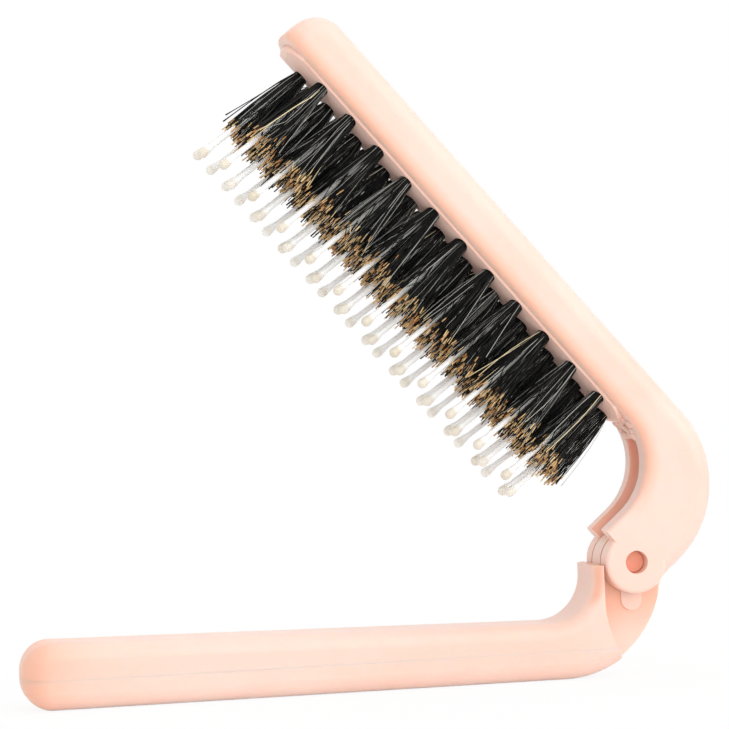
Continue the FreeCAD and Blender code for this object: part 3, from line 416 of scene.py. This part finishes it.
def hair_tuft(point, axis, side, pins, power, dice):
    """Strands of one tuft: each runs from a spot in the hole to its own spot in a wider disc, opening
    as the given power of its height, with a slight bow; pins push the strands aside, and at a side
    tuft they part in front of the pin."""
    n, t = HAIR_COUNT, HAIR_STATIONS
    spoke = np.sqrt((np.arange(n) + 0.5) / n)
    stray = dice.random(n) > STRAY_FROM
    spread = spoke * dice.uniform(0.7, 1.2, n) + STRAY_REACH * stray
    turn = np.arange(n)[:, None] * GOLDEN_TURN + dice.normal(0, 0.5, n)[:, None] * t
    length = HAIR_LENGTH + dice.normal(0, LENGTH_SPREAD, n)
    length = length + dice.choice(ODD_LENGTHS, n, p=ODD_SHARES)
    height = -ROOT_SINK + (length[:, None] + ROOT_SINK) * t
    opening = np.clip(height / length[:, None], 0, 1) ** power
    reach = (ROOT_RADIUS * spoke)[:, None] * (1 - opening) + (TIP_RADIUS * spread)[:, None] * opening
    bow = dice.normal(0, BOW_SPREAD, (n, 2))
    face = side * ACROSS if side else ACROSS
    face = face - axis * (face @ axis)
    face = face / np.linalg.norm(face)
    wing = np.cross(axis, face)
    over = reach * np.cos(turn) + bow[:, :1] * np.sin(t * math.pi)
    beside = reach * np.sin(turn) + bow[:, 1:] * np.sin(t * math.pi)
    for foot, pin_axis in pins:
        from_foot = height / (pin_axis @ axis)
        pin_over = (foot - point) @ face + from_foot * (pin_axis @ face)
        pin_beside = (foot - point) @ wing + from_foot * (pin_axis @ wing)
        apart = np.hypot(over - pin_over, beside - pin_beside)
        push = np.maximum(PIN_CLEAR / np.maximum(apart, NEAR_LIMIT), 1)
        over = pin_over + (over - pin_over) * push
        beside = pin_beside + (beside - pin_beside) * push
        if side:
            parting = PIN_CLEAR * np.clip((opening - PART_START) / PART_RUN, 0, 1)
            parting = parting * (dice.random(n) > CROSSING_SHARE)[:, None]
            off = beside - pin_beside
            aside = np.sign(off) * np.maximum(np.abs(off), parting)
            beside = pin_beside + np.where(over > pin_over, aside, off)
    line = point + height[..., None] * axis + over[..., None] * face + beside[..., None] * wing
    around = np.arange(HAIR_SIDES) * 2 * math.pi / HAIR_SIDES
    ring = np.cos(around)[:, None] * face + np.sin(around)[:, None] * wing
    tone = np.where(stray, STRAY_TONE, TONE_TOP * dice.random(n))
    fine = np.where(tone * FLICKER_TURNS % 1 > FINE_FROM, FINE_SCALE, 1.0)
    thick = HAIR_RADIUS * dice.uniform(0.75, 1.25, n) * fine
    thick = thick[:, None] * (1 + TIP_SWELL * np.clip(t - TIP_STATION, 0, 1) / (1 - TIP_STATION))
    points = line[:, :, None, :] + thick[:, :, None, None] * ring
    strand = np.stack([np.repeat(tone[:, None], len(t), 1), (length[:, None] - height) / END_UNIT], -1)
    return points, np.repeat(strand[:, :, None, :], HAIR_SIDES, 2)


HAIR_BLACK, HAIR_CHARCOAL, HAIR_PAINTED_GLINT = srgb(6, 5, 3), srgb(18, 17, 14), srgb(214, 214, 206)
HAIR_BLOND, TIP_BROWN, TIP_GOLD = srgb(232, 216, 176), srgb(182, 119, 62), srgb(255, 228, 172)


def tuft_hair():
    """Black hair, of which a little over half has cut golden ends of about a millimetre; some strands
    are painted silver-grey as painted highlights, glints along the strand, and a few strays are blond
    all along. U is the strand's tone, and V is the way left to its end, in parts of 20 mm."""
    material, shader, strand = new_finish("tuft_hair", "UV")
    tone, left = strand.part("X"), strand.part("Y")
    flicker = (tone * FLICKER_TURNS).math("FRACT")
    tip = (left - 0.03 * flicker).rise(0.055, 0.037) * tone.rise(0.40, 0.44)
    black = tone.rise(0.80, 0.97).blend(HAIR_BLACK, HAIR_CHARCOAL)
    # Painted highlight: some strands are painted silver-grey as glints.
    black = flicker.rise(0.78, 0.98).blend(black, HAIR_PAINTED_GLINT)
    black = tone.rise(0.975, 0.985).blend(black, HAIR_BLOND)
    plug(strand.tree, shader["Base Color"], tip.blend(black, flicker.blend(TIP_BROWN, TIP_GOLD)))
    plug(strand.tree, shader["Roughness"], 0.3 + 0.25 * flicker)
    shader["Specular IOR Level"].default_value = 0.22
    return material


hair_material = tuft_hair()
hair_dice = np.random.default_rng(7)
for row, (along, sides) in enumerate(row_places(), start=1):
    inner = 0 in sides and 1 < row < 2 * MIDDLE_COUNT - 1
    grown = []
    for side in sides:
        power = MIDDLE_POWER if inner else SIDE_POWER - SIDE_POWER_STEP * (side + 1)
        point, axis = seat(along, side * SIDE_OFFSET, side * SIDE_LEAN)
        grown.append(hair_tuft(point, axis, side, pin_seats(along, side), power, hair_dice))
    points, strand = (np.concatenate(arrays) for arrays in zip(*grown))
    faces = turned_faces(*points.shape[:3])
    hair = put_mesh(f"hair_row_{row:02d}", points, faces, hair_material, strand)
    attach(hair, "head")
    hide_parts(f"tuft_row_{row:02d}")


# Ball pins: milky nylon rods, each with a drop-shaped ball end that was dipped in beige.
# One stands in every side tuft and two lean apart in every middle tuft, held with the hair.
# Rods and balls are painted paler towards the far side of the brush as painted light, and the rods
# greyer low in the hair as painted shade.
PIN_RADIUS, BALL_RADIUS, PIN_LENGTH, PIN_ROOT = 0.55 * MM, 0.95 * MM, 24.2 * MM, 2.4 * MM
ROD_STATIONS, BALL_TAPER, PIN_SIDES = (4 * MM, 12 * MM), 2.4 * MM, 16
BALL_CLIMB = np.radians(np.array([-9.6, 8, 26, 44, 62, 78, 88]))
DIP_MIDDLE, FAR_SIDE_LIGHTENING, DIP_JITTER = 0.6, 60, 0.15
ROD_FAR_PAINTED_LIGHT, ROD_MILKY, ROD_HAIR_SHADE = srgb(255, 255, 253), srgb(240, 240, 236), srgb(186, 185, 180)
DIP_FAR_PAINTED_LIGHT, DIP_DEEP = srgb(247, 245, 240), srgb(212, 202, 185)


def ball_pin(point, axis, dip):
    """Rod, cone and ball turned about the axis: radius against height, carried round in 16 sides."""
    height = np.concatenate([[-PIN_ROOT, *ROD_STATIONS, PIN_LENGTH - BALL_TAPER],
                             PIN_LENGTH + BALL_RADIUS * np.sin(BALL_CLIMB)])
    radius = np.concatenate([np.full(4, PIN_RADIUS), BALL_RADIUS * np.cos(BALL_CLIMB)])
    face = np.cross(axis, ALONG)
    wing = np.cross(axis, face)
    around = np.arange(PIN_SIDES) * 2 * math.pi / PIN_SIDES
    ring = np.cos(around)[:, None] * face + np.sin(around)[:, None] * wing
    points = point + height[:, None, None] * axis + radius[:, None, None] * ring
    level = np.repeat((height / PIN_LENGTH)[:, None], PIN_SIDES, 1)
    return points, np.stack([np.full_like(level, dip), level], -1)


def pin_nylon():
    """Milky rod and a beige ball end. V runs from the plate to the ball: the rod is painted greyer
    where it stands in the dark hair, as painted shade for the hair showing through it. U says how deep
    the ball's dip is, and with it how much paler the far side's rods and balls are painted as painted
    light."""
    material, shader, strand = new_finish("pin_nylon", "UV")
    dip, level = strand.part("X"), strand.part("Y")
    ball = level.rise(0.935, 0.975)
    # Painted shade: the rod is grey low down, in the dark hair; painted light: far-side rods are
    # whiter.
    rod = level.rise(0.4, 0.7).blend(ROD_HAIR_SHADE, dip.blend(ROD_FAR_PAINTED_LIGHT, ROD_MILKY))
    plug(strand.tree, shader["Base Color"], ball.blend(rod, dip.blend(DIP_FAR_PAINTED_LIGHT, DIP_DEEP)))
    plug(strand.tree, shader["Roughness"], 0.22 + 0.15 * ball)
    shader["Subsurface Weight"].default_value = 0.9
    shader["Subsurface Radius"].default_value = (1.0, 1.0, 0.95)
    shader["Subsurface Scale"].default_value = 1.5 * MM
    return material


pin_material = pin_nylon()
pin_dice = np.random.default_rng(11)
for row, (along, sides) in enumerate(row_places(), start=1):
    turned = []
    for foot, axis in [place for side in sides for place in pin_seats(along, side)]:
        # Painted light: a pin further towards the far side gets a lower dip value, so its rod and ball
        # are painted paler.
        dip = DIP_MIDDLE - FAR_SIDE_LIGHTENING * foot[1] + pin_dice.uniform(-DIP_JITTER, DIP_JITTER)
        turned.append(ball_pin(foot, axis, dip))
    points, strand = (np.stack(arrays) for arrays in zip(*turned))
    faces = turned_faces(*points.shape[:3])
    pins = put_mesh(f"nylon_pins_row_{row:02d}", points, faces, pin_material, strand)
    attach(pins, "head")
    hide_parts(f"ball_pins_row_{row:02d}")


# Studio: a white table that keeps a soft shadow, an even white room and three large soft lamps.
# Table and room are plain white to the camera, to reflections and through clear things, and less
# bright as light on the brush.
TABLE_HALF, TABLE_DROP = 3.0, 0.05 * MM
SHADOW_SHARE, SHADOW_NEAR, SHADOW_FAR = 0.1, 0.1, 0.22
ROOM_LIGHT, LAMP_AIM = 0.83, (0, 0, 0.05)


def seen_directly(tree):
    """1 for rays from the camera, from a reflection or through a clear thing, 0 for light on things."""
    path = tree.nodes.new("ShaderNodeLightPath").outputs
    seen = Wire(tree, path["Is Camera Ray"]) + Wire(tree, path["Is Glossy Ray"])
    return (seen + Wire(tree, path["Is Transmission Ray"])).least(1.0)


def white_table():
    """White to the camera and to reflections; near the brush a part of the true shading is left in,
    which keeps the shadow."""
    material, shader, place = new_finish("white_table")
    tree = place.tree
    shader["Base Color"].default_value = (0.9, 0.9, 0.9, 1)
    shader["Roughness"].default_value = 0.9
    away = place.node("VectorMath", {"operation": "LENGTH"}, {0: place}, output="Value")
    white = 1 - SHADOW_SHARE + SHADOW_SHARE * away.rise(SHADOW_NEAR, SHADOW_FAR)
    glow = place.node("Emission", {}, {"Color": (1, 1, 1, 1), "Strength": 1.0})
    shaded = Wire(tree, tree.nodes["Principled BSDF"].outputs[0])
    mixed = place.node("MixShader", {}, {0: seen_directly(tree) * white, 1: shaded, 2: glow})
    tree.links.new(mixed.socket, tree.nodes["Material Output"].inputs[0])
    return material


table_points = np.array([[-1, -1, 0], [1, -1, 0], [1, 1, 0], [-1, 1, 0]]) * TABLE_HALF
table = put_mesh("table", table_points - [0, 0, TABLE_DROP], np.array([[0, 1, 2, 3]]), white_table())

world = bpy.data.worlds.new("white_room")
bpy.context.scene.world = world
world.use_nodes = True
room = world.node_tree
background = room.nodes["Background"].inputs
plug(room, background["Color"], (1, 1, 1, 1))
plug(room, background["Strength"], ROOM_LIGHT + (1 - ROOM_LIGHT) * seen_directly(room))


def soft_lamp(name, place, size, watts):
    """Square area lamp aimed at the brush."""
    lamp = bpy.data.lights.new(name, "AREA")
    lamp.size, lamp.energy = size, watts
    made = bpy.data.objects.new(name, lamp)
    away = np.array(place) - np.array(LAMP_AIM)
    away = away / np.linalg.norm(away)
    side = np.cross((0, 0, 1), away)
    side = side / np.linalg.norm(side)
    turn = np.stack([side, np.cross(away, side), away], 1)
    made.matrix_world = Matrix.Translation(place) @ Matrix(turn.tolist()).to_4x4()
    bpy.context.scene.collection.objects.link(made)


soft_lamp("key", (1.2, -1.2, 1.0), 1.9, 14.5)
soft_lamp("top", (0.2, 0.2, 1.8), 1.6, 5.0)
soft_lamp("front", (-0.2, -2.0, 0.4), 1.4, 7.5)


# Camera: a long lens a little to the left of square-on, just above the hinge and rolled slightly.
# It looks level, turned to the right by the camera's turn, and the roll tips the picture.
CAMERA_TURN, CAMERA_ROLL = math.radians(12.5), math.radians(2.0)
CAMERA_PLACE = HINGE + np.array([-164.26, -514.99, 43.34]) * MM
SENSOR_WIDTH, FOCAL_PIXELS, PICTURE_PIXELS = 36, 2800, 729
level_right = np.array([math.cos(CAMERA_TURN), -math.sin(CAMERA_TURN), 0])
level_away = np.array([math.sin(CAMERA_TURN), math.cos(CAMERA_TURN), 0])
tip_over = np.array([[math.cos(CAMERA_ROLL), 0, math.sin(CAMERA_ROLL)], [0, 1, 0],
                     [-math.sin(CAMERA_ROLL), 0, math.cos(CAMERA_ROLL)]])
axes = tip_over @ np.stack([level_right, (0, 0, 1), -level_away], 1)
lens = bpy.data.cameras.new("camera")
lens.sensor_width, lens.lens = SENSOR_WIDTH, SENSOR_WIDTH * FOCAL_PIXELS / PICTURE_PIXELS
lens.clip_start = 0.01
camera = bpy.data.objects.new("camera", lens)
camera.matrix_world = Matrix.Translation(CAMERA_PLACE) @ Matrix(axes.tolist()).to_4x4()
bpy.context.scene.collection.objects.link(camera)
bpy.context.scene.camera = camera
bpy.context.scene.view_settings.view_transform = "Standard"
